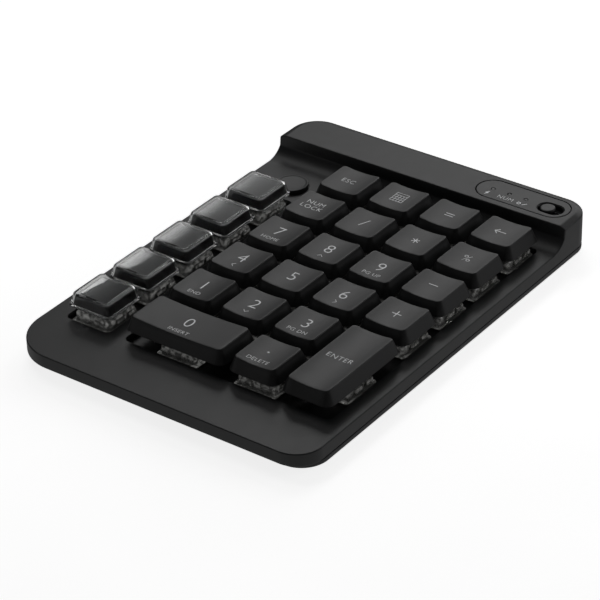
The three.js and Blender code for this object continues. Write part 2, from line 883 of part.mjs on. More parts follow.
// A bent wire, drawn for a key that is long in X: a bar behind the key, two
// arms that rise towards its middle line and a short tip on each arm.
function stabiliserWire() {
  const tips = [-1, 1].flatMap((side) => {
    const hinge = new THREE.Vector3(side * armSpread, armReach, pivotHeight);
    const elbow = new THREE.Vector3(side * armSpread, 0, tipHeight);
    const tip = new THREE.Vector3(side * (armSpread - tipLength), 0, tipHeight);
    return [rod(hinge, elbow, wireRadius), rod(elbow, tip, wireRadius)];
  });
  const left = new THREE.Vector3(-armSpread, armReach, pivotHeight);
  const right = new THREE.Vector3(armSpread, armReach, pivotHeight);
  return join([rod(left, right, wireRadius), ...tips]);
}

const wireGeometry = geometryOf(stabiliserWire());
place("zero_stabiliser", wireGeometry, "steel", zeroKey.x, zeroKey.y);
place("enter_stabiliser", wireGeometry.clone().rotateZ(Math.PI / 2), "steel", enterKey.x, enterKey.y);

export default keypad;
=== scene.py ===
# A numeric keypad: near-black dished keys, a column of clear-capped keys at the left,
# and a raised bar at the back with a status panel and a round slider.
#
# Shapes are worked out in millimetres from the boxes of the CAD nodes and turned into
# metres as each mesh is made. +X is the user's right, +Y points away, +Z is up.

import math

import bmesh
import bpy
from mathutils import Matrix, Vector


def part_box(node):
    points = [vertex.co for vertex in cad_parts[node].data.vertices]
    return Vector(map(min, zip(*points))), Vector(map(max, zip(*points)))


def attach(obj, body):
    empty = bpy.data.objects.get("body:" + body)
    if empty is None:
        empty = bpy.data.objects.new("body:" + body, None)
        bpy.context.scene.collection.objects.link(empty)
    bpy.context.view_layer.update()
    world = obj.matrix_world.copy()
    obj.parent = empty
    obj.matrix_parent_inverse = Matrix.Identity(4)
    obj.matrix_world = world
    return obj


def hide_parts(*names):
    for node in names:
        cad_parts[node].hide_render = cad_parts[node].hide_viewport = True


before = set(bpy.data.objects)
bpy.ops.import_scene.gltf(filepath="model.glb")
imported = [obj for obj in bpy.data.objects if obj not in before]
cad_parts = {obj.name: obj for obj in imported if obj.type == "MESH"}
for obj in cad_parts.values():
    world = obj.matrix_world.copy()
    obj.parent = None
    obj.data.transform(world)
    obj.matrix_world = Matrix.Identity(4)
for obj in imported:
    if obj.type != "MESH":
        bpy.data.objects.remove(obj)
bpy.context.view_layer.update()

MM = 0.001
CASE = "case"
CORNERS = ("front_left", "front_right", "rear_left", "rear_right")

# ---- Sizes in millimetres, matching the CAD -------------------------------

GAP = 0.3
KEY_PITCH = 19.05
KEY_TRAVEL = 2.8
FRONT_LEFT_RADIUS = 15.5
FRONT_RIGHT_RADIUS = 9.0
REAR_RADIUS = 9.3
WALL = 2.0
FRONT_SETBACK = 2.3
COVER_PLATE_TOP = 2.4
SCREW_HEAD = (2.3, 1.7)  # radius and the height its counterbore reaches
SCREW_HOLE_RADIUS = 1.25
FOOT_POCKET = (4.8, 1.3)
DECK_TOP = 7.0
DECK_THICKNESS = 1.6
BAR_THICKNESS = 2.3
BAR_CHAMFER = (2.2, 0.9)
SWEEP_RADIUS = 8.0
SWEEP_START = 24.0  # from the rear of the case to where the hollow curve begins
SWEEP_END_ANGLE = -math.asin(0.6)
FACE_LEAN = 0.1
WELL_MARGIN = 9.1
CLEAR_WELL_MARGIN = 8.5
REAR_WELL_MARGIN = 7.85
WELL_RADIUS = 2.0
CAP_HEIGHT = 4.6
CAP_TAPER = 1.78
CAP_CORNER = 2.9
CAP_WALL = 1.0
CAP_ROOF = 1.4
CAP_STEPS = (5, 10)  # round a corner, along a side
DISH_SAG = 0.6
EDGE_ROUND = 0.42
STEM_RADIUS = 2.75
WIRE_POST_RADIUS = 1.6
WIRE_POST_SPREAD = 12.0
WIRE_POST_BOTTOM = 9.7
WIRE_RADIUS = 0.4
WIRE_PIVOT_HEIGHT = 6.4
WIRE_TIP_HEIGHT = 9.0
WIRE_REACH = 8.0
WIRE_HOOK = 2.0
COVER_HEIGHT = 4.35
COVER_TOP = (13.7, 14.4)
COVER_CORNER = 1.6
COVER_WALL = 0.5
COVER_SAG = 0.3
CUP_WALL = 0.4
SKIRT_HEIGHT = 0.7
SKIRT_LIP = 0.5
HOUSING_WIDTH = 13.0
HOUSING_TOP = 9.0
HOUSING_CORNER = 0.9
HOUSING_CHAMFER = 1.0
FLANGE_WIDTH = 15.0
FLANGE_HEIGHTS = (5.0, 5.5)
CLIP_DEPTH = 0.7
CLIP_HEIGHTS = (6.5, 7.75)
CLIP_PLACES = ((-1.0, 4.0), (4.1, 3.4))  # along a housing's side: middle and length
WEB_WIDTH = 8.0
WEB_THICKNESS = 0.4
LIGHT_SPACING = 6.1
LIGHT_RADIUS = 0.5
RECESS_LENGTH = 8.5
RECESS_WIDTH = 5.8
RECESS_OFFSET = 1.05  # from the slider at rest to the middle of its recess
RECESS_FLOOR = 0.5  # over the ceiling of the bar
SLOT_LENGTH = 5.0
SLOT_WIDTH = 2.6
SLOT_OFFSET = 1.2
KNOB_RADIUS = 2.5
KNOB_SINK = 0.8
STALK_WIDTH = 2.0
SHOE_WIDTH = 4.4
LEGEND_THICKNESS = 0.03


def box_mm(node):
    low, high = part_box(node)
    return Vector(low) / MM, Vector(high) / MM


def middle(node):
    low, high = box_mm(node)
    return (low + high) / 2


# ---- Outlines and profiles -------------------------------------------------


def corner_arc(x, y, radius, start, steps):
    """Points of a quarter circle, anticlockwise from the angle `start`."""
    angles = [start + math.pi / 2 * step / steps for step in range(steps + 1)]
    return [(x + radius * math.cos(a), y + radius * math.sin(a)) for a in angles]


def rounded_plan(x, y, width, depth, radii, steps=6, side_steps=1):
    """Anticlockwise plan of a rectangle with its own radius at each corner, front left
    first; each straight side is split into `side_steps`."""
    signs = [(-1, -1), (1, -1), (1, 1), (-1, 1)]
    starts = [math.pi, 1.5 * math.pi, 0.0, 0.5 * math.pi]
    arcs = []
    for (sign_x, sign_y), start, radius in zip(signs, starts, radii):
        centre_x = x + sign_x * (width / 2 - radius)
        centre_y = y + sign_y * (depth / 2 - radius)
        arcs.append(corner_arc(centre_x, centre_y, radius, start, steps))
    points = []
    for arc, following in zip(arcs, arcs[1:] + arcs[:1]):
        points += arc
        last = Vector(arc[-1])
        for step in range(1, side_steps):
            points.append(tuple(last.lerp(Vector(following[0]), step / side_steps)))
    return points


def rounded_square(x, y, width, radius, steps=5, side_steps=1):
    return rounded_plan(x, y, width, width, [radius] * 4, steps, side_steps)


def round_plan(x, y, radius, steps=8):
    return rounded_plan(x, y, 2 * radius, 2 * radius, [radius] * 4, steps)


def pill_plan(x, y, length, width, steps=10):
    return rounded_plan(x, y, length, width, [width / 2] * 4, steps)


def soften(points, radius, steps=3):
    """Rounds the inner corners of an open profile of (inset, height) points."""
    rounded = [points[0]]
    for before, here, after in zip(points, points[1:], points[2:]):
        corner = Vector(here)
        to_before = Vector(before) - corner
        to_after = Vector(after) - corner
        reach = min(radius, to_before.length / 2.2, to_after.length / 2.2)
        first = corner + to_before.normalized() * reach
        last = corner + to_after.normalized() * reach
        for step in range(steps + 1):
            t = step / steps
            bend = first * (1 - t) ** 2 + corner * 2 * t * (1 - t) + last * t ** 2
            rounded.append(tuple(bend))
    rounded.append(points[-1])
    return rounded


def ring(plan, height):
    return [Vector((x, y, height)) for x, y in plan]


# ---- Meshes ----------------------------------------------------------------


def loft_into(mesh, rings):
    """Adds one closed solid: rings of equal length joined in order, with a face across
    the first and the last."""
    rows = [[mesh.verts.new(point * MM) for point in points] for points in rings]
    count = len(rows[0])
    for lower, upper in zip(rows, rows[1:]):
        for i in range(count):
            j = (i + 1) % count
            mesh.faces.new((lower[i], lower[j], upper[j], upper[i]))
    mesh.faces.new(list(reversed(rows[0])))
    mesh.faces.new(rows[-1])


def make(name, solids, material, smooth_angle=38):
    """One object from a list of solids, each a list of rings."""
    mesh = bmesh.new()
    for rings in solids:
        loft_into(mesh, rings)
    bmesh.ops.remove_doubles(mesh, verts=mesh.verts, dist=1e-7)
    bmesh.ops.recalc_face_normals(mesh, faces=mesh.faces)
    data = bpy.data.meshes.new(name)
    mesh.to_mesh(data)
    mesh.free()
    piece = bpy.data.objects.new(name, data)
    bpy.context.collection.objects.link(piece)
    if material:
        data.materials.append(material)
    shade(piece, smooth_angle)
    return piece


def shade(piece, smooth_angle=38):
    piece.data.shade_smooth()
    piece.data.set_sharp_from_angle(angle=math.radians(smooth_angle))


def prism(plan, bottom, top):
    return [ring(plan, bottom), ring(plan, top)]


def carve(piece, tool, operation="DIFFERENCE"):
    """Cuts `tool` out of the piece, or keeps what they share, and removes the tool."""
    change = piece.modifiers.new("carve", "BOOLEAN")
    change.operation = operation
    change.object = tool
    change.solver = "EXACT"
    bpy.context.view_layer.objects.active = piece
    bpy.ops.object.modifier_apply(modifier=change.name)
    bpy.data.objects.remove(tool)


def soften_edges(piece, width, segments, angle):
    change = piece.modifiers.new("edges", "BEVEL")
    change.width = width * MM
    change.segments = segments
    change.limit_method = "ANGLE"
    change.angle_limit = math.radians(angle)
    change.use_clamp_overlap = True
    bpy.context.view_layer.objects.active = piece
    bpy.ops.object.modifier_apply(modifier=change.name)


def weigh_normals(piece):
    change = piece.modifiers.new("normals", "WEIGHTED_NORMAL")
    change.keep_sharp = True


def install(piece, body, slot, *nodes):
    """Puts a piece on a body and hides the CAD nodes it stands for; the slot name is not used."""
    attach(piece, body)
    if nodes:
        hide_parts(*nodes)


# ---- Materials -------------------------------------------------------------


COOL = 0.03  # how far black plastic leans towards blue


class Surface:
    """A node-built material with small helpers to add and join nodes."""

    def __init__(self, name):
        self.material = bpy.data.materials.new(name)
        self.material.use_nodes = True
        self.tree = self.material.node_tree
        self.shader = self.tree.nodes["Principled BSDF"]
        self.place = self.tree.nodes.new("ShaderNodeTexCoord").outputs["Object"]

    def noise(self, scale, detail=3.0, stretch=(1, 1, 1)):
        mapping = self.tree.nodes.new("ShaderNodeMapping")
        mapping.inputs["Scale"].default_value = stretch
        self.tree.links.new(self.place, mapping.inputs["Vector"])
        node = self.tree.nodes.new("ShaderNodeTexNoise")
        node.inputs["Scale"].default_value = scale
        node.inputs["Detail"].default_value = detail
        self.tree.links.new(mapping.outputs["Vector"], node.inputs["Vector"])
        return node.outputs["Fac"]

    def ramp(self, source, low, high, from_low=0.3, from_high=0.7):
        node = self.tree.nodes.new("ShaderNodeMapRange")
        node.inputs["From Min"].default_value = from_low
        node.inputs["From Max"].default_value = from_high
        node.inputs["To Min"].default_value = low
        node.inputs["To Max"].default_value = high
        self.tree.links.new(source, node.inputs["Value"])
        return node.outputs["Result"]

    def mix(self, factor, first, second):
        node = self.tree.nodes.new("ShaderNodeMix")
        node.data_type = "RGBA"
        self.tree.links.new(factor, node.inputs["Factor"])
        self.fill(node.inputs["A"], first)
        self.fill(node.inputs["B"], second)
        return node.outputs["Result"]

    def edge(self, low=0.52, high=0.62):
        """Rises towards outer edges, where handling polishes the plastic."""
        geometry = self.tree.nodes.new("ShaderNodeNewGeometry")
        return self.ramp(geometry.outputs["Pointiness"], 0.0, 1.0, low, high)

    def openness(self, distance):
        """Share of the view from a point that nothing blocks within `distance`."""
        node = self.tree.nodes.new("ShaderNodeAmbientOcclusion")
        node.inputs["Distance"].default_value = distance * MM
        return node.outputs["AO"]

    def bump(self, source, strength, distance):
        node = self.tree.nodes.new("ShaderNodeBump")
        node.inputs["Strength"].default_value = strength
        node.inputs["Distance"].default_value = distance * MM
        self.tree.links.new(source, node.inputs["Height"])
        self.tree.links.new(node.outputs["Normal"], self.shader.inputs["Normal"])

    def fill(self, socket, value):
        """Gives a socket a number, a colour or the output of another node."""
        if isinstance(value, (int, float)):
            socket.default_value = value
        elif isinstance(value, tuple):
            socket.default_value = (*value, 1)
        else:
            self.tree.links.new(value, socket)

    def feed(self, socket, value):
        self.fill(self.shader.inputs[socket], value)


def grey(level, cool=0.0):
    return (level * (1 - cool), level, level * (1 + cool))


def moulded(name, level, roughness, depth=0.012, worn=1.5):
    """Fine-textured moulded plastic: cloudy tone, sparkle-free grain and paler edges."""
    surface = Surface(name)
    cloud = surface.ramp(surface.noise(60, 4), 0, 1)
    body = surface.mix(cloud, grey(level * 0.95, COOL), grey(level * 1.05, COOL))
    handled = surface.ramp(surface.noise(220, 5), roughness - 0.012, roughness + 0.015)
    surface.feed("Base Color", surface.mix(surface.edge(), body, grey(level * worn, COOL)))
    surface.feed("Roughness", handled)
    surface.feed("Specular IOR Level", 0.5)
    surface.bump(surface.noise(2600, 2), 0.35, depth)
    return surface.material


def clear(name, tint, roughness, density, transmission=1.0, painted_glow_strength=0.0):
    """Clear or cloudy moulded plastic with faint flow lines. The last argument sets a painted glow with
    painted glints: an emission that stands in for light seen in the clear plastic, strongest where
    nothing stands close in front of it and dimmed as painted shade between parts."""
    surface = Surface(name)
    flow = surface.noise(90, 3, (1, 2.5, 1))
    dense = tuple(channel * density for channel in tint)
    surface.feed("Base Color", surface.mix(surface.ramp(flow, 0, 1), tint, dense))
    surface.feed("Roughness", surface.ramp(flow, roughness * 0.6, roughness * 1.6))
    surface.feed("IOR", 1.49)
    surface.feed("Transmission Weight", transmission)
    # Painted glow and painted glints, faded out as painted shade where other parts stand close by
    if painted_glow_strength:
        painted_glow_by_openness = surface.ramp(surface.openness(8), 0, painted_glow_strength, 0.35, 0.9)
        painted_glints = surface.ramp(surface.noise(900, 4), 0.1, 1, 0.42, 0.6)
        surface.feed("Emission Color", surface.mix(painted_glints, (0, 0, 0), tint))
        surface.feed("Emission Strength", painted_glow_by_openness)
    surface.bump(flow, 0.015, 0.05)
    return surface.material


def metal(name, colour, roughness, stretch):
    """Drawn or pressed metal with fine lines along one direction."""
    surface = Surface(name)
    lines = surface.noise(900, 3, stretch)
    darker = tuple(channel * 0.75 for channel in colour)
    surface.feed("Base Color", surface.mix(surface.ramp(lines, 0, 1), colour, darker))
    surface.feed("Metallic", 1.0)
    surface.feed("Roughness", surface.ramp(lines, roughness - 0.06, roughness + 0.1))
    surface.bump(lines, 0.15, 0.01)
    return surface.material


def painted(name, colour, roughness, blotch=0.8, glow=0.0):
    """A coated sheet with a faint orange-peel surface, or ink with a painted glow that makes it look
    brighter.
    """
    surface = Surface(name)
    cloud = surface.ramp(surface.noise(140, 4), 0, 1)
    dull = tuple(channel * blotch for channel in colour)
    patches = surface.ramp(surface.noise(500, 3), roughness - 0.05, roughness + 0.08)
    surface.feed("Base Color", surface.mix(cloud, colour, dull))
    surface.feed("Roughness", patches)
    # A painted glow: emission that makes the colour look brighter
    surface.feed("Emission Color", colour)
    surface.feed("Emission Strength", glow)
    surface.bump(surface.noise(1200, 2), 0.2, 0.01)
    return surface.material


CASE_PLASTIC = moulded("case_plastic", 0.026, 0.42)
CAP_PLASTIC = moulded("keycap_plastic", 0.02, 0.4, worn=1.15)
PANEL_PLASTIC = moulded("panel_plastic", 0.029, 0.4, depth=0.005)
BASE_PLASTIC = moulded("key_base_plastic", 0.03, 0.3, depth=0.004)
SHELL_PLASTIC = clear("shell_plastic", (0.95, 0.96, 0.96), 0.02, 0.98)
# The switch housings get a painted glow with painted glints.
SWITCH_PLASTIC = clear(
    "switch_plastic", (0.95, 0.95, 0.92), 0.05, 0.85, transmission=0.75, painted_glow_strength=0.3,
)
GUIDE_PLASTIC = clear("guide_plastic", (0.12, 0.12, 0.12), 0.3, 0.9, transmission=0.3)
# The legend ink's glow is a painted glow that makes the legends look whiter.
LEGEND_INK = painted("legend_ink", (0.94, 0.95, 0.96), 0.5, blotch=0.96, glow=0.16)
RUBBER = moulded("foot_rubber", 0.015, 0.8, depth=0.02, worn=1.2)
PLATE_PAINT = painted("plate_paint", (0.012, 0.012, 0.013), 0.5)
BOARD_MASK = painted("board_mask", (0.015, 0.07, 0.035), 0.35)
RIBBON_FILM = painted("ribbon_film", (0.35, 0.17, 0.05), 0.3)
POUCH_FOIL = metal("pouch_foil", (0.65, 0.65, 0.67), 0.35, (1, 4, 1))
WIRE_STEEL = metal("wire_steel", (0.55, 0.56, 0.58), 0.25, (1, 1, 1))
SOCKET_STEEL = metal("socket_steel", (0.6, 0.6, 0.62), 0.3, (1, 6, 1))
SCREW_STEEL = metal("screw_steel", (0.06, 0.06, 0.065), 0.4, (3, 1, 1))

# ---- Case ------------------------------------------------------------------

case_low, case_high = box_mm("top_case")
CASE_WIDTH = case_high.x - case_low.x
CASE_DEPTH = case_high.y - case_low.y
CASE_BOTTOM = case_low.z
BAR_TOP = case_high.z
SWEEP_Y = case_high.y - SWEEP_START


def case_plan(inset=0.0, setback=0.0, steps=18):
    radii = [FRONT_LEFT_RADIUS, FRONT_RIGHT_RADIUS, REAR_RADIUS, REAR_RADIUS]
    return rounded_plan(
        0, setback / 2, CASE_WIDTH - 2 * inset, CASE_DEPTH - 2 * inset - setback,
        [radius - inset for radius in radii], steps,
    )


def bar_side_view(inset):
    """Side view (y, z) of the deck, the hollow curve and the bar, drawn in by `inset` and
    reaching past the case behind, above and below."""
    low, top = -DECK_TOP, BAR_TOP + 1
    radius = SWEEP_RADIUS + inset
    centre_z = DECK_TOP + SWEEP_RADIUS
    steps = 20
    turn = SWEEP_END_ANGLE + math.pi / 2
    points = [(-CASE_DEPTH, low), (-CASE_DEPTH, centre_z - radius)]
    for step in range(steps + 1):
        angle = -math.pi / 2 + turn * step / steps
        points.append((SWEEP_Y + radius * math.cos(angle), centre_z + radius * math.sin(angle)))
    foot_y, foot_z = points[-1]
    points.append((foot_y + FACE_LEAN * (top - foot_z), top))
    points += [(CASE_DEPTH, top), (CASE_DEPTH, low)]
    return points


def across(points):
    """A solid that carries a (y, z) side view across the whole width."""
    return [[Vector((x, y, z)) for y, z in points] for x in (-CASE_WIDTH, CASE_WIDTH)]


def bar_solid(name, inset):
    return make(name, [across(bar_side_view(inset))], None)


def outer_shell():
    width, drop = BAR_CHAMFER
    profile = [(0, CASE_BOTTOM), (0, BAR_TOP - drop), (width, BAR_TOP)]
    rings = [ring(case_plan(inset), height) for inset, height in profile]
    shell = make("top_shell", [rings], CASE_PLASTIC)
    carve(shell, bar_solid("bar_side", 0), "INTERSECT")
    soften_edges(shell, 0.55, 4, 20)
    return shell


def inner_room():
    room = make("room", [prism(case_plan(WALL), CASE_BOTTOM - 1, BAR_TOP - BAR_THICKNESS)], None)
    carve(room, bar_solid("room_side", DECK_THICKNESS), "INTERSECT")
    return room


def well_tool(first_column, last_column, rear, side_margin):
    left = middle(first_column).x - side_margin
    right = middle(last_column).x + side_margin
    front = middle("key_decimal").y - WELL_MARGIN
    plan = rounded_plan(
        (left + right) / 2, (front + rear) / 2, right - left, rear - front, [WELL_RADIUS] * 4,
    )
    return make("well", [prism(plan, DECK_TOP - DECK_THICKNESS - 1, DECK_TOP + 1)], None)


def top_case():
    shell = outer_shell()
    carve(shell, inner_room())
    rear = middle("key_escape").y + REAR_WELL_MARGIN
    carve(shell, well_tool("key_escape", "key_backspace", rear, WELL_MARGIN))
    clear_rear = middle("clear_cover_1").y + CLEAR_WELL_MARGIN
    carve(shell, well_tool("clear_cover_1", "clear_cover_1", clear_rear, CLEAR_WELL_MARGIN))

    panel_low, panel_high = box_mm("status_panel")
    centre = (panel_low + panel_high) / 2
    length = panel_high.x - panel_low.x + 2 * GAP
    width = panel_high.y - panel_low.y + 2 * GAP
    pocket = prism(pill_plan(centre.x, centre.y, length, width), panel_low.z - GAP, BAR_TOP + 1)
    carve(shell, make("panel_pocket", [pocket], None))

    slider = middle("mode_slider")
    recess = pill_plan(slider.x + RECESS_OFFSET, slider.y, RECESS_LENGTH, RECESS_WIDTH)
    recess_floor = BAR_TOP - BAR_THICKNESS + RECESS_FLOOR
    carve(shell, make("recess_well", [prism(recess, recess_floor, BAR_TOP)], None))
    slot = rounded_plan(slider.x + SLOT_OFFSET, slider.y, SLOT_LENGTH, SLOT_WIDTH, [0.3] * 4, 2)
    carve(shell, make("slot", [prism(slot, recess_floor - 2, BAR_TOP)], None))

    guide = middle("light_guide")
    for step in (-1, 0, 1):
        plan = round_plan(guide.x + step * LIGHT_SPACING, guide.y, LIGHT_RADIUS + GAP, 3)
        carve(shell, make("light_hole", [prism(plan, BAR_TOP - 4, BAR_TOP)], None))

    disc_low, disc_high = box_mm("badge_disc")
    disc = (disc_low + disc_high) / 2
    plan = round_plan(disc.x, disc.y, (disc_high.x - disc_low.x) / 2 + GAP)
    carve(shell, make("disc_pocket", [prism(plan, DECK_TOP - 0.5, DECK_TOP + 2)], None))

    socket_low, socket_high = box_mm("usb_socket")
    socket = (socket_low + socket_high) / 2
    outline = pill_plan(
        socket.x, socket.z, socket_high.x - socket_low.x + 2 * GAP,
        socket_high.z - socket_low.z + 2 * GAP, 6,
    )
    reach = (case_high.y - 2 * WALL, case_high.y + 1)
    opening = [[Vector((x, y, z)) for x, z in outline] for y in reach]
    carve(shell, make("socket_opening", [opening], None))

    shade(shell, 30)
    weigh_normals(shell)
    install(shell, CASE, "case_plastic", "top_case")


def bottom_cover():
    bottom = box_mm("bottom_cover")[0].z
    top = COVER_PLATE_TOP
    profile = soften([(1.2, bottom), (0, bottom), (0, top), (1.2, top)], 0.35)
    rings = [ring(case_plan(inset, FRONT_SETBACK), height) for inset, height in profile]
    cover = make("lower_cover", [rings], CASE_PLASTIC)
    for corner in CORNERS:
        screw = middle(f"screw_{corner}")
        foot = middle(f"foot_{corner}")
        for centre, radius, reach in (
            (screw, *SCREW_HEAD), (screw, SCREW_HOLE_RADIUS, top + 1), (foot, *FOOT_POCKET),
        ):
            bore = prism(round_plan(centre.x, centre.y, radius), bottom - 1, reach)
            carve(cover, make("bore", [bore], None))
    shade(cover, 30)
    install(cover, CASE, "case_plastic", "bottom_cover")


top_case()
bottom_cover()

# ---- Badge disc, status panel, lights and slider ---------------------------


def badge_disc():
    low, high = box_mm("badge_disc")
    centre = (low + high) / 2
    radius = (high.x - low.x) / 2
    dish = high.z - 0.14
    profile = soften([(0, low.z), (0, high.z), (0.55, high.z), (0.85, dish), (4, dish)], 0.3)
    rings = [ring(round_plan(centre.x, centre.y, radius - inset, 12), z) for inset, z in profile]
    disc = make("badge", [rings], PANEL_PLASTIC, 50)
    install(disc, CASE, "panel_plastic", "badge_disc")


def status_panel():
    low, high = box_mm("status_panel")
    centre = (low + high) / 2
    length, width = high.x - low.x, high.y - low.y
    profile = soften([(0.3, low.z), (0, low.z), (0, high.z), (0.6, high.z)], 0.28)
    rings = [
        ring(pill_plan(centre.x, centre.y, length - 2 * inset, width - 2 * inset, 14), z)
        for inset, z in profile
    ]
    panel = make("panel", [rings], PANEL_PLASTIC)
    slider = middle("mode_slider")
    recess_x = slider.x + RECESS_OFFSET
    profile = soften([(0, low.z - 1), (0, high.z - 0.35), (0.5, high.z), (0.5, high.z + 1)], 0.25)
    rings = [
        ring(pill_plan(recess_x, slider.y, RECESS_LENGTH + 2 * out, RECESS_WIDTH + 2 * out), z)
        for out, z in profile
    ]
    carve(panel, make("recess", [rings], None))
    guide = middle("light_guide")
    for step in (-1, 0, 1):
        plan = round_plan(guide.x + step * LIGHT_SPACING, guide.y, LIGHT_RADIUS + GAP, 6)
        carve(panel, make("light_hole", [prism(plan, low.z - 1, high.z + 1)], None))
    shade(panel, 35)
    weigh_normals(panel)
    install(panel, CASE, "panel_plastic", "status_panel")


def mode_slider():
    low, high = box_mm("mode_slider")
    centre = (low + high) / 2
    bottom = BAR_TOP - KNOB_SINK
    profile = soften([(0, bottom), (0, high.z - 0.25), (0.35, high.z), (2.4, high.z - 0.12)], 0.3)
    knob = [ring(round_plan(centre.x, centre.y, KNOB_RADIUS - inset, 10), z) for inset, z in profile]
    shoe_top = BAR_TOP - BAR_THICKNESS - GAP
    stalk_plan = rounded_square(centre.x, centre.y, STALK_WIDTH, 0.2)
    stalk = prism(stalk_plan, shoe_top - 0.1, bottom + 0.1)
    shoe = prism(rounded_square(centre.x, centre.y, SHOE_WIDTH, 0.3), low.z, shoe_top)
    slider = make("slider", [knob, stalk, shoe], PANEL_PLASTIC, 50)
    install(slider, "mode_slider", "keycap_plastic", "mode_slider")


badge_disc()
status_panel()
mode_slider()

# ---- Black keycaps ---------------------------------------------------------


def dish_height(x, half_width):
    """How far the dished top lies below the cap's highest point at x from its middle."""
    share = min(abs(x) / half_width, 1.0)
    return DISH_SAG * (1 - share ** 2)


def cap_rings(x, y, top, width, depth):
    """Rings up the sloping sides, over the rounded rim and in across the dish."""
    half_width = width / 2 - CAP_TAPER

    def lifted(inset, drop, radius):
        plan = rounded_plan(
            0, 0, width - 2 * inset, depth - 2 * inset, [radius] * 4, *CAP_STEPS
        )
        share = 1 - drop / CAP_HEIGHT
        return [
            Vector((x + px, y + py, top - drop - share * dish_height(px, half_width)))
            for px, py in plan
        ]

    rings = []
    for share in (0.0, 0.03, 0.35, 0.7):
        inset = CAP_TAPER * share + (0.12 if share == 0 else 0)
        rings.append(lifted(inset, CAP_HEIGHT * (1 - share), CAP_CORNER - CAP_TAPER * share))
    for step in range(6):
        angle = math.pi / 2 * step / 5
        inset = CAP_TAPER * (1 - EDGE_ROUND / CAP_HEIGHT) + EDGE_ROUND * (1.1 - math.cos(angle))
        rings.append(lifted(inset, EDGE_ROUND * (1 - math.sin(angle)), CAP_CORNER - inset + 0.2))
    rim = rings[-1]
    centre = Vector((x, y, 0))
    for share in (0.93, 0.78, 0.6, 0.4, 0.2, 0.03):
        shrunk = []
        for point in rim:
            flat = (point - centre) * share
            height = top - dish_height(flat.x, half_width)
            shrunk.append(Vector((x + flat.x, y + flat.y, height)))
        rings.append(shrunk)
    return rings


def hollow_cap(outer, x, y, top, width, depth):
    """Adds the inside of a cap below its outer rings, so that the walls have a thickness."""
    inner = []
    for share in (0.0, (CAP_HEIGHT - CAP_ROOF) / CAP_HEIGHT):
        inset = CAP_TAPER * share + CAP_WALL
        plan = rounded_plan(
            x, y, width - 2 * inset, depth - 2 * inset, [CAP_CORNER - inset] * 4, *CAP_STEPS
        )
        inner.append(ring(plan, top - CAP_HEIGHT * (1 - share)))
    return list(reversed(inner)) + outer


def stem_solid(x, y, bottom, top):
    profile = soften([(0.3, bottom), (0, bottom + 0.3), (0, top)], 0.2)
    return [ring(round_plan(x, y, STEM_RADIUS - inset, 5), z) for inset, z in profile]


def keycap(node):
    low, high = box_mm(node)
    centre = (low + high) / 2
    width, depth = high.x - low.x, high.y - low.y
    outer = cap_rings(centre.x, centre.y, high.z, width, depth)
    cap = hollow_cap(outer, centre.x, centre.y, high.z, width, depth)
    roof = high.z - CAP_ROOF + 0.1
    solids = [cap, stem_solid(centre.x, centre.y, low.z, roof)]
    for side in (-1, 1):
        if width > KEY_PITCH:
            post = (centre.x + side * WIRE_POST_SPREAD, centre.y)
        elif depth > KEY_PITCH:
            post = (centre.x, centre.y + side * WIRE_POST_SPREAD)
        else:
            continue
        solids.append(prism(round_plan(*post, WIRE_POST_RADIUS, 4), WIRE_POST_BOTTOM, roof))
    piece = make(node.replace("key_", "cap_"), solids, CAP_PLASTIC, 40)
    install(piece, node, "keycap_plastic", node)


black_keys = [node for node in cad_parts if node.startswith("key_")]
for node in black_keys:
    keycap(node)

# ---- Clear keys ------------------------------------------------------------


def cover_plan(x, y, share, wall, radius):
    """Plan of a clear cover at a share of its height, drawn in by `wall`."""
    skirt = box_mm("clear_cover_1")
    base_width = skirt[1].x - skirt[0].x - 2 * SKIRT_LIP
    base_depth = skirt[1].y - skirt[0].y - 2 * SKIRT_LIP
    width = base_width + (COVER_TOP[0] - base_width) * share - 2 * wall
    depth = base_depth + (COVER_TOP[1] - base_depth) * share - 2 * wall
    return rounded_plan(x, y, width, depth, [radius] * 4, 6, 8)


def cover_dip(x):
    """How far a clear top lies below its rim at x from its middle."""
    return COVER_SAG * (1 - min(2 * abs(x) / COVER_TOP[0], 1) ** 2)


def dished_ceiling(x, y, plan, height):
    """Rings that close a plan inwards along the same dip as the clear top."""
    rings = []
    for share in (1, 0.85, 0.6, 0.3, 0.03):
        shrunk = [(x + (px - x) * share, y + (py - y) * share) for px, py in plan]
        rings.append([Vector((px, py, height - cover_dip(px - x))) for px, py in shrunk])
    return rings


